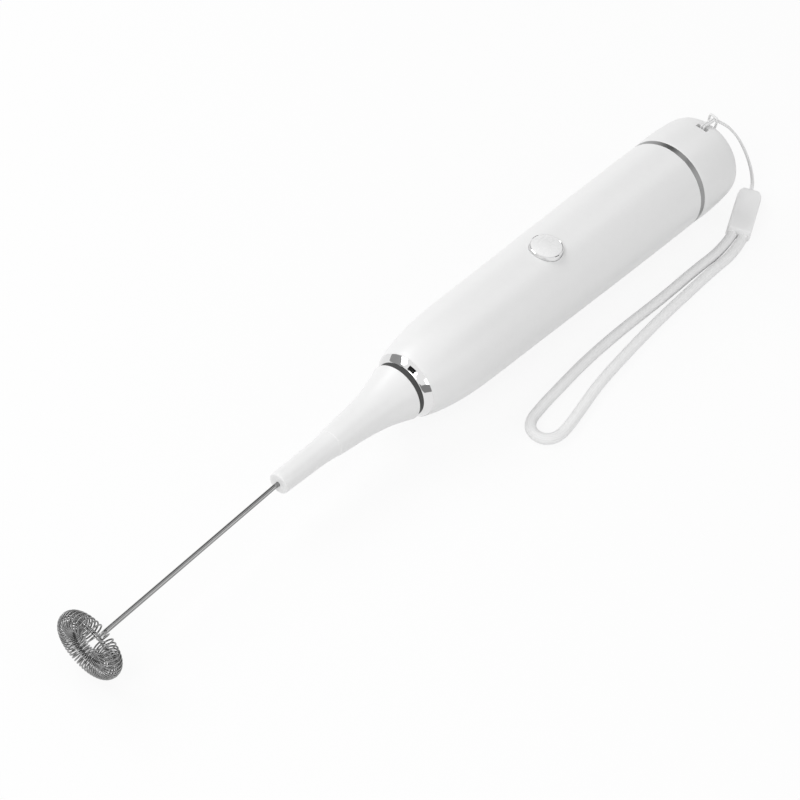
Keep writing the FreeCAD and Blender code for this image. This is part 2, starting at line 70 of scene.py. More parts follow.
WHISK_X = NOSE_BASE - 108.6 * MM
RING_R = 7.0 * MM
LEAN_POINT = Vector((NOSE_BASE - 46.0 * MM, 0, AXIS))
LEAN = Vector((1, 0, 0)).rotation_difference(Vector((1, 0.0235, 0.0491)))
SHAFT_R = 0.625 * MM
COIL_WIRE_R = 0.21 * MM
COIL_R = 2.39 * MM
COIL_TURNS = 47
COIL_EASE = 0.15
SPRING_WIRE_R = 0.2 * MM
SPRING_TURNS = 5
SPOKE_ANGLE = math.radians(27)
SPOKE_GAP = math.radians(3.5)
STRING_R = 0.35 * MM
BRAID_R = 1.55 * MM
STRAND_SIDE = 0.37          # each string strand's distance from the middle of the pair, in millimetres
HITCH_SIDE = 0.38
FERRULE_LENGTH = 19.6 * MM
CORE_WIRE_R = 0.5 * MM
SHAFT_BORE = 1.7            # millimetres, as in the profiles
BUTTON_HOLE_R = 4.78 * MM
REAR_BORE = 12.05
SKIRT_BORE = 10.8
SKIRT_OUTSIDE = 11.97
SPIGOT_OUTSIDE = 7.2
COLLAR_BORE = 8.4

NOSE_TIP = [(-43.9, 2.97), (-40.5, 3.03), (-35.9, 3.1), (-31.2, 3.2), (-28.0, 3.4), (-25.3, 3.7)]
NOSE_FLARE = [(-25.15, 3.81), (-21.8, 4.15), (-17.0, 4.55), (-12.1, 5.15), (-7.2, 6.05), (-3.0, 7.2), (0.0, 8.2)]
BODY_PROFILE = [
    (3.9, 9.6), (6.8, 10.45), (10.9, 11.3), (14.5, 11.85), (18.5, 12.28), (24.6, 12.62), (36.6, 12.85),
    (53.1, 13.1), (70.2, 13.41), (87.9, 13.69), (106.2, 13.91), (118.2, 14.0),
]
CAP_PROFILE = [(120.3, 14.03), (125.1, 14.18), (130.0, 14.07), (134.9, 13.74), (137.0, 13.4)]


def station(x, radius):
    """A profile's millimetres from the nose base, as a place and a radius in metres."""
    return NOSE_BASE + x * MM, radius * MM


def smooth_profile(points, step=1.2):
    """Stations along a smooth line through the profile's points."""
    spots = []
    count = len(points)
    for index in range(count - 1):
        (x0, r0), (x1, r1) = points[index], points[index + 1]
        before = points[max(index - 1, 0)]
        after = points[min(index + 2, count - 1)]
        slope0 = (r1 - before[1]) / (x1 - before[0])
        slope1 = (after[1] - r0) / (after[0] - x0)
        pieces = max(2, round((x1 - x0) / step))
        for piece in range(pieces):
            t = piece / pieces
            span = x1 - x0
            radius = ((2 * t ** 3 - 3 * t ** 2 + 1) * r0 + (t ** 3 - 2 * t ** 2 + t) * span * slope0
                      + (3 * t ** 2 - 2 * t ** 3) * r1 + (t ** 3 - t ** 2) * span * slope1)
            spots.append(station(x0 + span * t, radius))
    spots.append(station(*points[-1]))
    return spots


# ---------------------------------------------------------------- finishes
class Value:
    """A shader socket that takes part in arithmetic."""

    def __init__(self, finish, socket):
        self.finish = finish
        self.socket = socket

    def maths(self, operation, *others):
        return self.finish.node("ShaderNodeMath", {"operation": operation}, *others)

    def __add__(self, other):
        return self.maths("ADD", self, other)

    def __radd__(self, other):
        return self.maths("ADD", other, self)

    def __sub__(self, other):
        return self.maths("SUBTRACT", self, other)

    def __rsub__(self, other):
        return self.maths("SUBTRACT", other, self)

    def __mul__(self, other):
        return self.maths("MULTIPLY", self, other)

    def __rmul__(self, other):
        return self.maths("MULTIPLY", other, self)

    def sine(self):
        return self.maths("SINE", self)

    def size(self):
        return self.maths("ABSOLUTE", self)

    def at_least(self, other):
        return self.maths("MAXIMUM", self, other)


class Finish:
    """One material, built node by node around a Principled shader."""

    def __init__(self, name):
        self.material = bpy.data.materials.new(name)
        self.material.use_nodes = True
        self.tree = self.material.node_tree
        self.tree.nodes.clear()
        self.shader = self.tree.nodes.new("ShaderNodeBsdfPrincipled")
        output = self.tree.nodes.new("ShaderNodeOutputMaterial")
        self.tree.links.new(self.shader.outputs[0], output.inputs["Surface"])
        self.place = self.node("ShaderNodeTexCoord", {}, output="Object")

    def node(self, kind, settings, *values, output=0, **named):
        made = self.tree.nodes.new(kind)
        for key, setting in settings.items():
            setattr(made, key, setting)
        pairs = list(enumerate(values)) + [(key.replace("_", " "), value) for key, value in named.items()]
        for key, value in pairs:
            self.plug(made.inputs[key], value)
        return Value(self, made.outputs[output])

    def plug(self, socket, value):
        if isinstance(value, Value):
            self.tree.links.new(value.socket, socket)
        else:
            socket.default_value = value

    def set(self, **named):
        for key, value in named.items():
            self.plug(self.shader.inputs[key.replace("_", " ")], value)
        return self

    def noise(self, scale, detail=3.0, stretch=None):
        vector = self.place
        if stretch:
            vector = self.node("ShaderNodeMapping", {}, vector, Scale=stretch)
        return self.node("ShaderNodeTexNoise", {}, Vector=vector, Scale=scale, Detail=detail, output="Fac")

    def blend(self, amount, first, second):
        made = self.tree.nodes.new("ShaderNodeMix")
        made.data_type = "RGBA"
        self.plug(made.inputs[0], amount)
        self.plug(made.inputs[6], first)
        self.plug(made.inputs[7], second)
        return Value(self, made.outputs[2])

    def bump(self, height, depth):
        return self.node("ShaderNodeBump", {}, Strength=1.0, Distance=depth, Height=height, output="Normal")


def shade(level):
    return (level, level, level, 1.0)


def moulded_plastic(name, colour, darker, roughness, grain_depth=0.00001):
    """Moulded plastic: soft gloss, faint flow marks and a very fine grain."""
    finish = Finish(name)
    flow = finish.noise(28.0, 4.0)
    speck = finish.noise(420.0, 2.0)
    grain_height = finish.noise(GRAIN_SCALE, 3.0)
    finish.set(Base_Color=finish.blend(flow * 0.5 + speck * 0.5, darker, colour),
               Roughness=roughness + (flow - 0.5) * 0.08 + (grain_height - 0.5) * 0.05,
               Normal=finish.bump(grain_height + speck * 0.4, grain_depth))
    return finish


def metal(name, colour, darker, roughness, stretch=None, scale=60.0, depth=0.000002):
    """Metal with lines or clouding along the way that it was worked."""
    finish = Finish(name)
    lines = finish.noise(scale, 4.0, stretch)
    cloud = finish.noise(70.0, 2.0)
    finish.set(Metallic=1.0, Base_Color=finish.blend(lines * 0.6 + cloud * 0.4, darker, colour),
               Roughness=roughness + (lines - 0.5) * roughness * 0.7,
               Normal=finish.bump(lines, depth))
    return finish


def matt_rubber(name, level):
    finish = Finish(name)
    speck = finish.noise(700.0, 3.0)
    finish.set(Base_Color=finish.blend(speck, shade(level * 0.7), shade(level * 1.3)),
               Roughness=0.55 + speck * 0.2, Normal=finish.bump(speck, 0.00002))
    return finish


def braided(name, across, along, depth, light, groove_shade):
    """Fabric braid on the piece's own UV map: strands cross over and under each other, and the colour goes darker
    where the weave is low, as painted shade in the grooves between strands.
    """
    finish = Finish(name)
    uv = finish.node("ShaderNodeTexCoord", {}, output="UV")
    parts = finish.node("ShaderNodeSeparateXYZ", {}, uv)
    length = Value(finish, parts.socket.node.outputs["X"])
    girth = Value(finish, parts.socket.node.outputs["Y"])
    turn = 2 * math.pi
    rising = (length * along * turn + girth * across * turn).sine()
    falling = (length * along * turn - girth * across * turn).sine()
    weave = rising.size().at_least(falling.size())
    groove = (girth * across * turn).sine().size()
    fibre = finish.noise(2600.0, 3.0)
    height = weave * 0.6 + groove * 0.35 + fibre * 0.25
    # painted shade: the base colour runs to the darker colour where the weave is low, between the strands
    finish.set(Base_Color=finish.blend(height * 0.85, groove_shade, light), Roughness=0.82,
               Normal=finish.bump(height, depth))
    finish.shader.inputs["Sheen Weight"].default_value = 0.25
    finish.shader.inputs["Sheen Roughness"].default_value = 0.5
    return finish


white_plastic = moulded_plastic("white_plastic", shade(0.80), shade(0.765), 0.34)
white_cap_plastic = moulded_plastic("white_cap_plastic", shade(0.79), shade(0.755), 0.36)
button_plastic = moulded_plastic("button_plastic", shade(0.80), shade(0.77), 0.28, grain_depth=0.000004)
ferrule_plastic = moulded_plastic("ferrule_plastic", shade(0.88), shade(0.85), 0.48, grain_depth=0.00002)
grey_plastic = moulded_plastic("grey_plastic", shade(0.33), shade(0.28), 0.5)
laminate = moulded_plastic("board_laminate", (0.07, 0.25, 0.11, 1), (0.05, 0.2, 0.08, 1), 0.4)
ferrite = moulded_plastic("ferrite", shade(0.05), shade(0.03), 0.6, grain_depth=0.00003)
jacket = moulded_plastic("cell_jacket", (0.22, 0.25, 0.29, 1), (0.18, 0.2, 0.24, 1), 0.3)
red_insulation = moulded_plastic("red_insulation", (0.5, 0.04, 0.03, 1), (0.42, 0.03, 0.02, 1), 0.4)
black_insulation = moulded_plastic("black_insulation", shade(0.03), shade(0.02), 0.4)
chrome = metal("chrome", shade(0.80), shade(0.74), 0.05, scale=240.0, depth=0.0000005)
grey_metal = metal("satin_band", shade(0.35), shade(0.27), 0.34, stretch=(60, 1, 1), scale=90.0)
steel_wire = metal("steel_wire", shade(0.36), shade(0.19), 0.08, stretch=(1, 14, 14), scale=160.0)
plain_steel = metal("plain_steel", shade(0.62), shade(0.5), 0.3)
brass = metal("brass", (0.72, 0.52, 0.24, 1), (0.6, 0.42, 0.18, 1), 0.25)
copper = metal("copper", (0.75, 0.36, 0.2, 1), (0.55, 0.22, 0.12, 1), 0.3, stretch=(40, 1, 1), scale=60.0)
gasket_rubber = matt_rubber("gasket_rubber", 0.045)
seal_rubber = matt_rubber("seal_rubber", 0.03)
# the last colour of each braid is painted shade for the grooves of its weave
loop_braid = braided("loop_braid", 8.0, 240.0, 0.00007, shade(0.92), shade(0.76))
string_braid = braided("string_braid", 3.0, 60.0, 0.00005, shade(0.86), shade(0.68))


# ---------------------------------------------------------------- modelling
def finished(name, body, finish, nodes=(), smooth=35):
    """Settle the active piece: place in its mesh, smooth shading, finish and body."""
    piece = bpy.context.object
    piece.name = name
    piece.data.name = name
    bpy.ops.object.transform_apply(location=True, rotation=True, scale=True)
    if smooth:
        bpy.ops.object.shade_smooth_by_angle(angle=math.radians(smooth))
    piece.data.materials.clear()
    piece.data.materials.append(finish.material)
    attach(piece, body)
    if nodes:
        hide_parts(*nodes)
    return piece


def settle_mesh():
    """Merge the rings that meet, turn the faces outwards and leave edit mode."""
    bpy.ops.mesh.select_all(action="SELECT")
    bpy.ops.mesh.remove_doubles(threshold=1e-6)
    bpy.ops.mesh.normals_make_consistent(inside=False)
    bpy.ops.object.mode_set(mode="OBJECT")


def turned(stations, segments=144, upright_at=None):
    """Round shell drawn out ring by ring. Stations are (place, radius): along X about the handle's
    axis, or along Z at upright_at. A radius of 0 closes the shell in a point."""
    bpy.ops.object.select_all(action="DESELECT")
    place, radius = stations[0][0], max(stations[0][1], POINT_R)
    if upright_at is None:
        bpy.ops.mesh.primitive_circle_add(
            vertices=segments, radius=radius, location=(place, 0, AXIS), rotation=(0, math.pi / 2, 0))
    else:
        bpy.ops.mesh.primitive_circle_add(vertices=segments, radius=radius, location=(upright_at, 0, place))
    bpy.ops.object.mode_set(mode="EDIT")
    bpy.ops.mesh.select_all(action="SELECT")
    for next_place, next_radius in stations[1:]:
        move = next_place - place
        narrow = max(next_radius, POINT_R) / radius
        if upright_at is None:
            bpy.ops.mesh.extrude_edges_move(TRANSFORM_OT_translate={"value": (move, 0, 0)})
            bpy.ops.transform.resize(value=(1, narrow, narrow), center_override=(next_place, 0, AXIS))
        else:
            bpy.ops.mesh.extrude_edges_move(TRANSFORM_OT_translate={"value": (0, 0, move)})
            bpy.ops.transform.resize(value=(narrow, narrow, 1), center_override=(upright_at, 0, next_place))
        place, radius = next_place, max(next_radius, POINT_R)
    settle_mesh()
    return bpy.context.object


def rounded_edge(x, radius, size, turn_in, steps=5):
    """Stations of a rounded outer edge: turn_in is -1 where the shell starts, 1 where it ends."""
    spots = []
    for step in range(steps + 1):
        angle = math.pi / 2 * step / steps
        along = x - turn_in * size * (1 - math.sin(angle))
        spots.append((along, radius - size * (1 - math.cos(angle))))
    return spots if turn_in > 0 else spots[::-1]


def joined(pieces):
    """Make one object of the pieces, the first of them."""
    bpy.ops.object.select_all(action="DESELECT")
    for piece in pieces:
        piece.select_set(True)
    bpy.context.view_layer.objects.active = pieces[0]
    bpy.ops.object.join()


def cut_by(piece, cutter):
    """Cut the active piece with a solid, which is then removed, and keep its smooth shading."""
    bpy.ops.object.select_all(action="DESELECT")
    piece.select_set(True)
    bpy.context.view_layer.objects.active = piece
    cut = piece.modifiers.new("cut", "BOOLEAN")
    cut.operation = "DIFFERENCE"
    cut.solver = "EXACT"
    cut.object = cutter
    bpy.ops.object.modifier_apply(modifier="cut")
    bpy.ops.object.shade_smooth_by_angle(angle=math.radians(35))
    bpy.data.objects.remove(cutter)
    return piece


# ---------------------------------------------------------------- nose
tip_x, tip_r = station(-44.4, 2.97)
nose_stations = [(tip_x, SHAFT_BORE * MM)]
nose_stations += rounded_edge(tip_x, tip_r, 0.45 * MM, -1)
nose_stations += smooth_profile(NOSE_TIP)[1:]
nose_stations += smooth_profile(NOSE_FLARE)
nose_base_x, nose_base_r = station(0.0, 8.2)
nose_stations += [(nose_base_x + 0.12 * MM, nose_base_r - 0.1 * MM),
                  (nose_base_x + 0.12 * MM, SPIGOT_OUTSIDE * MM), (nose_base_x + 6 * MM, SPIGOT_OUTSIDE * MM),
                  (nose_base_x + 6 * MM, 6.2 * MM), (nose_base_x, 6.2 * MM),
                  (nose_base_x - 12 * MM, 3.6 * MM), (nose_base_x - 26 * MM, SHAFT_BORE * MM),
                  (tip_x, SHAFT_BORE * MM)]
turned(nose_stations)
finished("nose_cone_skin", "housing", white_plastic, ["nose_cone"], smooth=25)

gasket_x, gasket_r = station(0.15, 8.0)
turned([(gasket_x, 7.25 * MM), (gasket_x, gasket_r - 0.1 * MM), (gasket_x + 0.25 * MM, gasket_r),
        (gasket_x + 1.35 * MM, gasket_r), (gasket_x + 1.6 * MM, gasket_r - 0.1 * MM),
        (gasket_x + 1.6 * MM, 7.25 * MM), (gasket_x, 7.25 * MM)])
finished("nose_gasket_ring", "housing", gasket_rubber, ["nose_gasket"])

collar_x, collar_r = station(1.8, 8.15)
collar_rear, collar_rear_r = station(3.9, 9.45)
turned([(collar_x, SPIGOT_OUTSIDE * MM), (collar_x, collar_r - 0.15 * MM), (collar_x + 0.1 * MM, collar_r),
        (collar_x + 0.4 * MM, collar_r + 0.25 * MM), (collar_x + 1.2 * MM, collar_r + 0.77 * MM),
        (collar_rear - 0.2 * MM, collar_rear_r - 0.1 * MM), (collar_rear, collar_rear_r - 0.05 * MM),
        (collar_rear, COLLAR_BORE * MM), (collar_rear + 3.3 * MM, COLLAR_BORE * MM),
        (collar_rear + 3.3 * MM, SPIGOT_OUTSIDE * MM), (collar_x, SPIGOT_OUTSIDE * MM)], segments=192)
finished("chrome_collar_ring", "housing", chrome, ["chrome_collar"], smooth=28)

# ---------------------------------------------------------------- handle
body_stations = [station(3.9, COLLAR_BORE)]
body_stations += [station(3.9, 9.42), station(4.0, 9.58)]
body_stations += smooth_profile([(4.1, 9.66)] + BODY_PROFILE[1:])
body_stations += [station(118.2, 12.8), station(113.5, 12.8), station(113.5, REAR_BORE),
                  station(100.0, REAR_BORE)]
for x, r in reversed(BODY_PROFILE[2:-2]):
    body_stations.append(station(x, r - 1.8))
body_stations += [station(7.2, COLLAR_BORE), station(3.9, COLLAR_BORE)]
body = turned(body_stations, segments=192)
bpy.ops.object.select_all(action="DESELECT")
bpy.ops.mesh.primitive_cylinder_add(
    vertices=96, radius=BUTTON_HOLE_R, depth=12 * MM, location=(BUTTON_X, 0, AXIS + 14 * MM))
cut_by(body, bpy.context.object)
finished("handle_shell", "housing", white_plastic, ["body_shell"], smooth=35)

band_x, band_r = station(118.2, 14.02)
turned([(band_x - 4.7 * MM, REAR_BORE * MM), (band_x - 4.7 * MM, 12.8 * MM), (band_x, 12.8 * MM),
        (band_x, band_r - 0.18 * MM), (band_x + 0.15 * MM, band_r - 0.05 * MM),
        (band_x + 1.95 * MM, band_r - 0.05 * MM), (band_x + 2.1 * MM, band_r - 0.18 * MM),
        (band_x + 2.1 * MM, REAR_BORE * MM), (band_x - 4.7 * MM, REAR_BORE * MM)], segments=192)
finished("rear_band", "housing", grey_metal, ["rear_trim_ring"])

# ---------------------------------------------------------------- button
rim_low, rim_high = button_low[2], button_high[2]
rim_r = (button_high[0] - button_low[0]) / 2
turned([(rim_low, 0), (rim_low, rim_r), (rim_high - 0.25 * MM, rim_r), (rim_high - 0.08 * MM, rim_r - 0.06 * MM),
        (rim_high, rim_r - 0.18 * MM), (rim_high - 0.05 * MM, rim_r - 0.29 * MM),
        (rim_high - 0.4 * MM, rim_r - 0.3 * MM), (rim_low + 1 * MM, rim_r - 0.3 * MM), (rim_low + 1 * MM, 0)],
       segments=128, upright_at=BUTTON_X)
finished("button_rim_cup", "button", chrome, ["button_rim"])

dome_low, dome_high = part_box("button_dome")
dome_r = (dome_high[0] - dome_low[0]) / 2
dome_rise = 0.75 * MM
dome_sphere = (dome_r ** 2 + dome_rise ** 2) / (2 * dome_rise)
dome_stations = [(dome_low[2], 0), (dome_low[2], dome_r - 0.02 * MM)]
for step in range(15):
    reach = dome_r * math.cos(math.pi / 2 * step / 14)
    height = dome_high[2] - dome_sphere + math.sqrt(dome_sphere ** 2 - reach ** 2)
    dome_stations.append((height, max(reach - 0.02 * MM, 0)))
turned(dome_stations, segments=128, upright_at=BUTTON_X)
finished("button_dome_cap", "button", button_plastic, ["button_dome"], smooth=60)

# ---------------------------------------------------------------- rear cap
cap_stations = [station(112.0, SKIRT_BORE), station(112.0, 11.6), station(112.5, SKIRT_OUTSIDE),
                station(115.2, SKIRT_OUTSIDE), station(115.2, 11.05), station(116.4, 11.05),
                station(116.4, SKIRT_OUTSIDE), station(120.3, SKIRT_OUTSIDE),
                station(120.3, 13.85), station(120.42, 13.98)]
cap_stations += smooth_profile([(120.55, 14.02)] + CAP_PROFILE[1:])
cap_stations += [station(137.45, 13.24), station(137.8, 13.0), station(138.1, 12.66), station(138.3, 12.3),
                 station(138.45, 11.9), station(138.5, 11.5), station(138.5, 0.0)]
# the end wall closes in a point on each side, so it is drawn as two shells that share their rim
cap = turned(cap_stations, segments=192)
bpy.ops.object.select_all(action="DESELECT")
cap_inner = turned([station(112.0, SKIRT_BORE), station(132.0, SKIRT_BORE), station(132.0, 0.0)], segments=192)
joined([cap, cap_inner])
bpy.ops.object.mode_set(mode="EDIT")
settle_mesh()
slot_x, slot_r = station(134.05, 13.2)
bpy.ops.object.select_all(action="DESELECT")
bpy.ops.mesh.primitive_cube_add(size=1, location=(slot_x, 0, AXIS + slot_r), scale=(1.7 * MM, 3.8 * MM, 5.6 * MM))
slot_cutter = bpy.context.object
bpy.ops.object.transform_apply(location=False, rotation=False, scale=True)
rounding = slot_cutter.modifiers.new("rounding", "BEVEL")
rounding.width = 0.35 * MM
rounding.segments = 3
bpy.ops.object.modifier_apply(modifier="rounding")
cut_by(cap, slot_cutter)
bpy.ops.object.select_all(action="DESELECT")
bpy.ops.mesh.primitive_cube_add(
    size=1, location=(slot_x + 3 * MM, 0, AXIS + 11.15 * MM), scale=(7.7 * MM, 3.8 * MM, 1.5 * MM))
passage_cutter = bpy.context.object
bpy.ops.object.transform_apply(location=False, rotation=False, scale=True)
cut_by(cap, passage_cutter)
finished("rear_cap_shell", "rear_cap", white_cap_plastic, ["cap_shell"], smooth=35)


# ---------------------------------------------------------------- wires of the whisk
def wire_curve(name, spots, radius, kind="POLY", sides=3, smooth_steps=1):
    """Round wire or cord along the spots."""
    line = bpy.data.curves.new(name, "CURVE")
    line.dimensions = "3D"
    line.bevel_depth = radius
    line.bevel_resolution = sides
    line.use_fill_caps = True
    line.resolution_u = smooth_steps
    spline = line.splines.new(kind)
    spline.points.add(len(spots) - 1)
    for point, spot in zip(spline.points, spots):
        point.co = (*spot, 1.0)
    if kind == "NURBS":
        spline.order_u = 3
        spline.use_endpoint_u = True
    piece = bpy.data.objects.new(name, line)
    bpy.context.collection.objects.link(piece)
    return piece


def as_mesh(piece):
    bpy.ops.object.select_all(action="DESELECT")
    piece.select_set(True)
    bpy.context.view_layer.objects.active = piece
    bpy.ops.object.convert(target="MESH")
    return bpy.context.object


def leant(x, y=0.0, z=0.0):
    """A place given about the handle's axis, turned with the shaft about its slight bend."""
    return LEAN_POINT + LEAN @ (Vector((x, y, AXIS + z)) - LEAN_POINT)


# the coil's first and last turns are pushed back a little, where they would touch the spoke
turn_angle = 2 * math.pi / COIL_TURNS * (1 + COIL_EASE)
spoke_room = math.asin((SHAFT_R + COIL_WIRE_R + 0.05 * MM) / (RING_R - 0.88 * COIL_R))
push = max(spoke_room - SPOKE_GAP - 0.41 * turn_angle, 0) / 0.92
coil_start = SPOKE_GAP + push
coil_spots = []
coil_steps = COIL_TURNS * 24
for step in range(coil_steps + 1):
    share = step / coil_steps
    eased = share + COIL_EASE * math.sin(2 * math.pi * share) / (2 * math.pi)
    back = push * math.cos(math.pi * min(COIL_TURNS * min(share, 1 - share), 0.5)) ** 2
    around = SPOKE_ANGLE + coil_start + (2 * math.pi - 2 * coil_start) * eased + (back if share > 0.5 else -back)
    roll = 2 * math.pi * COIL_TURNS * share
    radial = RING_R + COIL_R * math.cos(roll)
    coil_spots.append(leant(WHISK_X + COIL_R * math.sin(roll), -radial * math.sin(around),
                            radial * math.cos(around)))
as_mesh(wire_curve("whisk_coil_wire", coil_spots, COIL_WIRE_R, sides=2))
finished("whisk_coil_wire", "rotor", steel_wire, ["whisk_coil"], smooth=60)

core_spots = []
for step in range(97):
    around = 2 * math.pi * step / 96
    core_spots.append(leant(WHISK_X, -RING_R * math.sin(around), RING_R * math.cos(around)))
as_mesh(wire_curve("whisk_core_wire", core_spots, CORE_WIRE_R, sides=4))
finished("whisk_core_wire", "rotor", steel_wire, ["whisk_ring"], smooth=60)


def rounded_corner(before, corner, after, reach, steps=12):
    """Places along a smooth turn at the corner, which starts and ends at reach from it."""
    start = corner + (before - corner).normalized() * reach
    end = corner + (after - corner).normalized() * reach
    places = []
    for step in range(steps + 1):
        t = step / steps
        places.append(start * (1 - t) ** 2 + corner * (2 * t * (1 - t)) + end * t ** 2)
    return places


spoke_reach = RING_R - 0.3 * MM
spoke_end = leant(WHISK_X + 0.1 * MM, -spoke_reach * math.sin(SPOKE_ANGLE), spoke_reach * math.cos(SPOKE_ANGLE))
spoke_bend = leant(WHISK_X + 3.7 * MM)
shaft_end = Vector((NOSE_BASE + 8.9 * MM, 0, AXIS))
shaft_spots = [spoke_end] + rounded_corner(spoke_end, spoke_bend, LEAN_POINT, 1.85 * MM)
leaning_from = shaft_spots[-1]
for step in range(1, 24):
    shaft_spots.append(leaning_from.lerp(LEAN_POINT, step / 24))
shaft_spots += rounded_corner(shaft_spots[-1], LEAN_POINT, shaft_end, 0.3 * MM, 4)
level_from = shaft_spots[-1]
for step in range(1, 21):
    shaft_spots.append(level_from.lerp(shaft_end, step / 20))
as_mesh(wire_curve("whisk_shaft_rod", shaft_spots, SHAFT_R, sides=8))
finished("whisk_shaft_rod", "rotor", steel_wire, ["whisk_shaft"], smooth=60)

# ---------------------------------------------------------------- button spring
spring_low, spring_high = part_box("button_spring")
spring_height = spring_high[2] - spring_low[2]
spring_r = (spring_high[1] - spring_low[1]) / 2 - SPRING_WIRE_R
spring_spots = []
spring_steps = SPRING_TURNS * 24
for step in range(spring_steps + 1):
    share = step / spring_steps
    around = 2 * math.pi * SPRING_TURNS * share
    rise = SPRING_WIRE_R + (spring_height - 2 * SPRING_WIRE_R) * share
    spring_spots.append(Vector((BUTTON_X + spring_r * math.cos(around), spring_r * math.sin(around),
                                spring_low[2] + rise)))
as_mesh(wire_curve("button_spring_coil", spring_spots, SPRING_WIRE_R, sides=2))
spring = finished("button_spring_coil", "housing", plain_steel, ["button_spring"], smooth=60)
press_travel = next(joint["range_m"][1] for joint in frame["joints"] if joint["name"] == "button_press")
1 - press_travel / spring_height
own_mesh(spring)


# ---------------------------------------------------------------- lanyard
def route(points):
    """Route points in millimetres from the nose base and the handle's axis."""
    return [Vector((NOSE_BASE + x * MM, y * MM, AXIS + z * MM)) for x, y, z in points]


def beside(points, side, offset):
    """The same route, moved sideways and kept square to its direction."""
    moved = []
    for index, point in enumerate(points):
        ahead = (points[min(index + 1, len(points) - 1)] - points[max(index - 1, 0)]).normalized()
        side = (side - ahead * side.dot(ahead)).normalized()
        moved.append(point + side * offset)
    return moved


floor_z = -AXIS / MM
way = Vector((0.917, 0.400, 0)).normalized()
across = Vector((-way.y, way.x, 0))
ferrule_base = route([(131.5, -22.0, floor_z + 2.3)])[0]
ferrule_top = ferrule_base + way * FERRULE_LENGTH

# ferrule: a block drawn out in steps, then rounded
bpy.ops.object.select_all(action="DESELECT")
bpy.ops.mesh.primitive_cube_add(size=1, location=(0, 0, 0))
bpy.ops.transform.resize(value=(0.5 * MM, 6.9 * MM, 4.2 * MM))
bpy.ops.object.transform_apply(location=True, rotation=True, scale=True)
ferrule = bpy.context.object
bpy.ops.object.mode_set(mode="EDIT")
bpy.ops.mesh.select_mode(type="FACE")
bpy.ops.mesh.select_all(action="DESELECT")
bpy.ops.object.mode_set(mode="OBJECT")
for face in ferrule.data.polygons:
    face.select = face.normal.x > 0.9
bpy.ops.object.mode_set(mode="EDIT")
FERRULE_STEPS = [(0.5, 7.3 / 6.9, 4.6 / 4.2), (7.0, 1.0, 1.0), (7.3, 1.0, 1.0), (2.3, 6.75 / 7.3, 4.35 / 4.6),
                 (1.5, 5.4 / 6.75, 3.9 / 4.35), (0.5, 4.3 / 5.4, 3.3 / 3.9)]
along = 0.25 * MM
for run, wider, thicker in FERRULE_STEPS:
    along += run * MM
    bpy.ops.mesh.extrude_region_move(TRANSFORM_OT_translate={"value": (run * MM, 0, 0)})
    bpy.ops.transform.resize(value=(1, wider, thicker), center_override=(along, 0, 0))
bpy.ops.mesh.select_all(action="SELECT")
bpy.ops.mesh.normals_make_consistent(inside=False)
bpy.ops.object.mode_set(mode="OBJECT")
rounding = ferrule.modifiers.new("rounding", "BEVEL")
rounding.width = 1.3 * MM
rounding.segments = 5
rounding.limit_method = "ANGLE"
rounding.angle_limit = math.radians(60)
bpy.ops.object.modifier_apply(modifier="rounding")
turn = Matrix(((way.x, across.x, 0), (way.y, across.y, 0), (0, 0, 1)))
ferrule.matrix_world = Matrix.Translation(ferrule_base + way * 0.25 * MM) @ turn.to_4x4()
ferrule = finished("lanyard_ferrule_sleeve", "rear_cap", ferrule_plastic, ["lanyard_ferrule"],
                   smooth=40)

# hitch: the string's bight round the bridge of the cap
hitch_pieces = []
for index, side in enumerate((-1, 1)):
    spots = route([(134.1, side * HITCH_SIDE, 11.9), (134.1, side * HITCH_SIDE, 14.35),
                   (138.9, side * HITCH_SIDE - 0.5, 14.35)])
    middle = [spots[0].lerp(spots[1], 0.65), spots[1].lerp(spots[2], 0.2)]
    bight = [spots[0], middle[0], spots[1], middle[1], spots[2]]
    hitch_pieces.append(as_mesh(wire_curve(f"hitch_strand_{index}", bight, STRING_R, "NURBS", 4, 8)))
collar_spots = route([(134.1, 1.2, 11.15), (136.8, 1.22, 11.15), (139.5, 1.25, 11.15), (139.45, 1.3, 13.2),
                      (139.4, 1.35, 15.25), (139.15, -0.2, 15.25), (138.9, -1.75, 15.25), (139.2, -1.5, 13.2),
                      (139.5, -1.3, 11.15), (136.8, -1.22, 11.15), (134.1, -1.2, 11.15)])
hitch_pieces.append(as_mesh(wire_curve("hitch_collar", collar_spots, STRING_R, "NURBS", 4, 8)))
joined(hitch_pieces)
finished("lanyard_hitch_knot", "rear_cap", string_braid, ["lanyard_hitch"], smooth=60)

string_route = route([
    (138.9, -0.5, 14.35), (141.3, -3.0, 13.2), (144.6, -6.0, 9.2), (147.9, -8.4, 3.4),
    (151.0, -10.3, -3.2), (152.5, -11.7, -8.2), (152.3, -12.9, floor_z + 2.9)]) + [ferrule_top]
strands = []
for index, side in enumerate((-1, 1)):
    spots = beside(string_route, Vector((0, 1, 0)), side * STRAND_SIDE * MM)
    strands.append(as_mesh(wire_curve(f"string_strand_{index}", spots, STRING_R, "NURBS", 4, 12)))
joined(strands)
string = finished("lanyard_string_pair", "rear_cap", string_braid, ["lanyard_string"], smooth=60)


def line_along(points, steps=12):
    """Places along the smooth cord that the route's points shape."""
    ghost = wire_curve("path_probe", points, 0.0, "NURBS", 0, steps)
    seen = ghost.to_mesh()
    places = [vertex.co.copy() for vertex in seen.vertices]
    ghost.to_mesh_clear()
    bpy.data.objects.remove(ghost)
    return places


string_path = line_along(string_route)

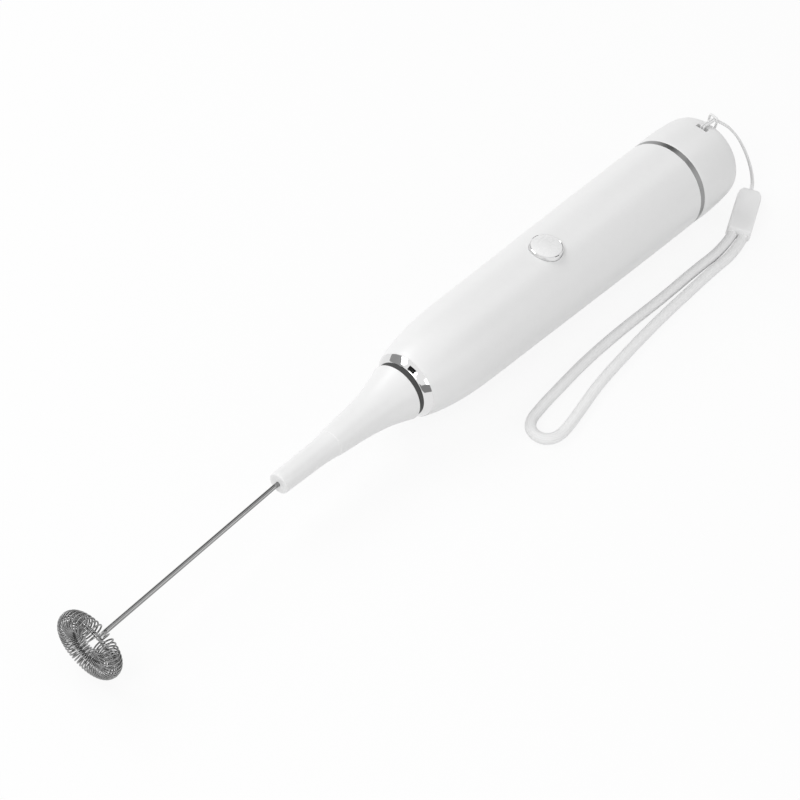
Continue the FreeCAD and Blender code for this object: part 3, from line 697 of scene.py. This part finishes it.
loop_z = floor_z + BRAID_R / MM
strand_gap = BRAID_R + 0.1 * MM
left_end = ferrule_base + across * strand_gap
right_end = ferrule_base - across * strand_gap
left_end.z = right_end.z = BRAID_R
loop_spots = [
    (123.2, -22.15), (110.0, -21.7), (94.0, -21.95), (74.0, -21.4), (57.5, -21.7),
    (44.0, -22.9), (34.2, -23.9), (28.4, -24.9), (25.6, -27.4), (25.6, -31.1), (28.4, -33.4), (32.8, -33.6),
    (40.8, -32.1), (52.5, -29.6), (67.0, -28.0), (84.5, -26.5), (101.0, -25.8), (115.5, -25.3), (124.4, -25.5),
]
loop_route = [left_end] + route([(x, y, loop_z) for x, y in loop_spots]) + [right_end]
loop_path = line_along(loop_route)
as_mesh(wire_curve("wrist_loop_braid", loop_route, BRAID_R, "NURBS", 8, 14))
loop = finished("wrist_loop_braid", "rear_cap", loop_braid, ["wrist_loop"], smooth=60)

# ---------------------------------------------------------------- finishes of the carried-over pieces
NODE_FINISHES = {
    grey_plastic: ["motor_bulkhead", "inner_chassis", "battery_tray", "switch_body", "switch_plunger",
                   "cap_contact_carrier"],
    white_plastic: ["shaft_bush", "motor_end_cap", "button_flange"],
    plain_steel: ["motor_can", "m2_screws", "motor_shaft", "armature_core", "front_contact_plate",
                  "front_contact_spring", "cap_contact_plate", "cap_contact_stud", "cap_contact_spring"],
    brass: ["coupling_sleeve", "motor_terminals", "commutator", "motor_brushes"],
    laminate: ["switch_board"],
    ferrite: ["motor_magnets"],
    copper: ["armature_windings"],
    jacket: ["cell_left", "cell_right"],
    red_insulation: ["wire_motor_switch", "wire_switch_cell"],
    black_insulation: ["wire_motor_cell"],
    seal_rubber: ["cap_seal"],
}
for finish, names in NODE_FINISHES.items():
    for name in names:
        for material_slot in frame["nodes"][name].material_slots:
            material_slot.material = finish.material

# ---------------------------------------------------------------- stage
FLOOR_GLOW = 0.88           # share of the floor's own pale glow, where it is seen or mirrored


def seen_or_mirrored(nodes, links):
    """Socket that is 1 for the rays that show the pale background: from the camera or off a gloss."""
    ray = nodes.new("ShaderNodeLightPath")
    seen = nodes.new("ShaderNodeMath")
    seen.operation = "MAXIMUM"
    links.new(ray.outputs["Is Camera Ray"], seen.inputs[0])
    links.new(ray.outputs["Is Glossy Ray"], seen.inputs[1])
    return seen.outputs[0]


bpy.ops.object.select_all(action="DESELECT")
bpy.ops.mesh.primitive_plane_add(size=6, location=(0, 0, -0.00002))
floor = bpy.context.object
floor.name = "floor"
floor_finish = bpy.data.materials.new("floor_white")
floor_finish.use_nodes = True
nodes = floor_finish.node_tree.nodes
links = floor_finish.node_tree.links
nodes.clear()
floor_diffuse = nodes.new("ShaderNodeBsdfDiffuse")
floor_diffuse.inputs["Color"].default_value = shade(0.82)
floor_glow = nodes.new("ShaderNodeEmission")
floor_glow.inputs["Color"].default_value = shade(1.0)
floor_share = nodes.new("ShaderNodeMath")
floor_share.operation = "MULTIPLY"
floor_share.inputs[1].default_value = FLOOR_GLOW
floor_mix = nodes.new("ShaderNodeMixShader")
floor_output = nodes.new("ShaderNodeOutputMaterial")
links.new(seen_or_mirrored(nodes, links), floor_share.inputs[0])
links.new(floor_share.outputs[0], floor_mix.inputs[0])
links.new(floor_diffuse.outputs[0], floor_mix.inputs[1])
links.new(floor_glow.outputs[0], floor_mix.inputs[2])
links.new(floor_mix.outputs[0], floor_output.inputs["Surface"])
floor.data.materials.append(floor_finish)

world = bpy.data.worlds.new("studio")
bpy.context.scene.world = world
world.use_nodes = True
nodes = world.node_tree.nodes
links = world.node_tree.links
nodes.clear()
fill_light = nodes.new("ShaderNodeBackground")
fill_light.inputs["Color"].default_value = shade(1.0)
fill_light.inputs["Strength"].default_value = 0.5
backdrop = nodes.new("ShaderNodeBackground")
backdrop.inputs["Color"].default_value = shade(1.0)
backdrop.inputs["Strength"].default_value = 1.0
world_mix = nodes.new("ShaderNodeMixShader")
world_output = nodes.new("ShaderNodeOutputWorld")
links.new(seen_or_mirrored(nodes, links), world_mix.inputs[0])
links.new(fill_light.outputs[0], world_mix.inputs[1])
links.new(backdrop.outputs[0], world_mix.inputs[2])
links.new(world_mix.outputs[0], world_output.inputs["Surface"])


def softbox(name, place, target, size, power):
    light = bpy.data.lights.new(name, "AREA")
    light.shape = "RECTANGLE"
    light.size, light.size_y = size
    light.energy = power
    lamp = bpy.data.objects.new(name, light)
    bpy.context.collection.objects.link(lamp)
    lamp.location = place
    lamp.rotation_euler = (Vector(target) - Vector(place)).to_track_quat("-Z", "Y").to_euler()
    return lamp


softbox("key_light", (-0.15, 0.75, 0.75), (0, 0, 0.01), (0.9, 0.6), 5.6)
softbox("front_light", (-0.75, -0.1, 0.7), (0, 0, 0.01), (0.5, 0.5), 3.3)
softbox("side_light", (0.1, -0.8, 0.45), (0, 0, 0.01), (1.0, 0.5), 1.7)


def flag(name, heading, width, height, level, distance=0.8):
    """Studio card for the polished metal to reflect; it neither shades nor lights the object."""
    away = Vector(heading).normalized()
    bpy.ops.object.select_all(action="DESELECT")
    bpy.ops.mesh.primitive_plane_add(size=1, location=Vector((NOSE_BASE, 0, AXIS)) + away * distance)
    card = bpy.context.object
    card.name = name
    card.scale = (width, height, 1)
    card.rotation_euler = away.to_track_quat("Z", "Y").to_euler()
    card.visible_camera = False
    card.visible_diffuse = False
    card.visible_shadow = False
    paint = bpy.data.materials.new(name)
    paint.use_nodes = True
    tree = paint.node_tree
    tree.nodes.clear()
    glow = tree.nodes.new("ShaderNodeEmission")
    glow.inputs["Color"].default_value = shade(level)
    output = tree.nodes.new("ShaderNodeOutputMaterial")
    tree.links.new(glow.outputs[0], output.inputs["Surface"])
    card.data.materials.append(paint)
    return card


flag("camera_flag", (-0.60, 0.02, 0.77), 0.34, 0.34, 0.015)
flag("overhead_flag", (0.56, -0.38, 0.74), 0.42, 0.30, 0.06)
flag("left_flag", (-0.3, 0.88, 0.38), 1.1, 0.56, 0.34)
flag("right_flag", (-0.35, -0.95, 0.19), 1.3, 0.34, 0.26)
flag("rear_flag", (0.55, 0.55, 0.62), 0.7, 0.5, 0.03)
flag("front_flag", (-1.0, 0.25, 0.22), 0.5, 0.30, 0.10)

# ---------------------------------------------------------------- camera
CAMERA_PLACE = Vector((NOSE_BASE - 0.2898, -0.1978, AXIS + 0.3817))
CAMERA_FORWARD = Vector((0.5584, 0.3780, -0.7384)).normalized()
CAMERA_RIGHT = Vector((0.6542, -0.7480, 0.1118)).normalized()
camera_data = bpy.data.cameras.new("camera")
camera_data.lens = 90.0
camera_data.sensor_width = 36.0
camera_data.clip_start = 0.01
camera = bpy.data.objects.new("camera", camera_data)
bpy.context.collection.objects.link(camera)
camera_up = CAMERA_RIGHT.cross(CAMERA_FORWARD).normalized()
camera_right = CAMERA_FORWARD.cross(camera_up)
camera.matrix_world = Matrix.Translation(CAMERA_PLACE) @ Matrix(
    (camera_right, camera_up, -CAMERA_FORWARD)).transposed().to_4x4()
bpy.context.scene.camera = camera
bpy.context.scene.view_settings.view_transform = "Standard"
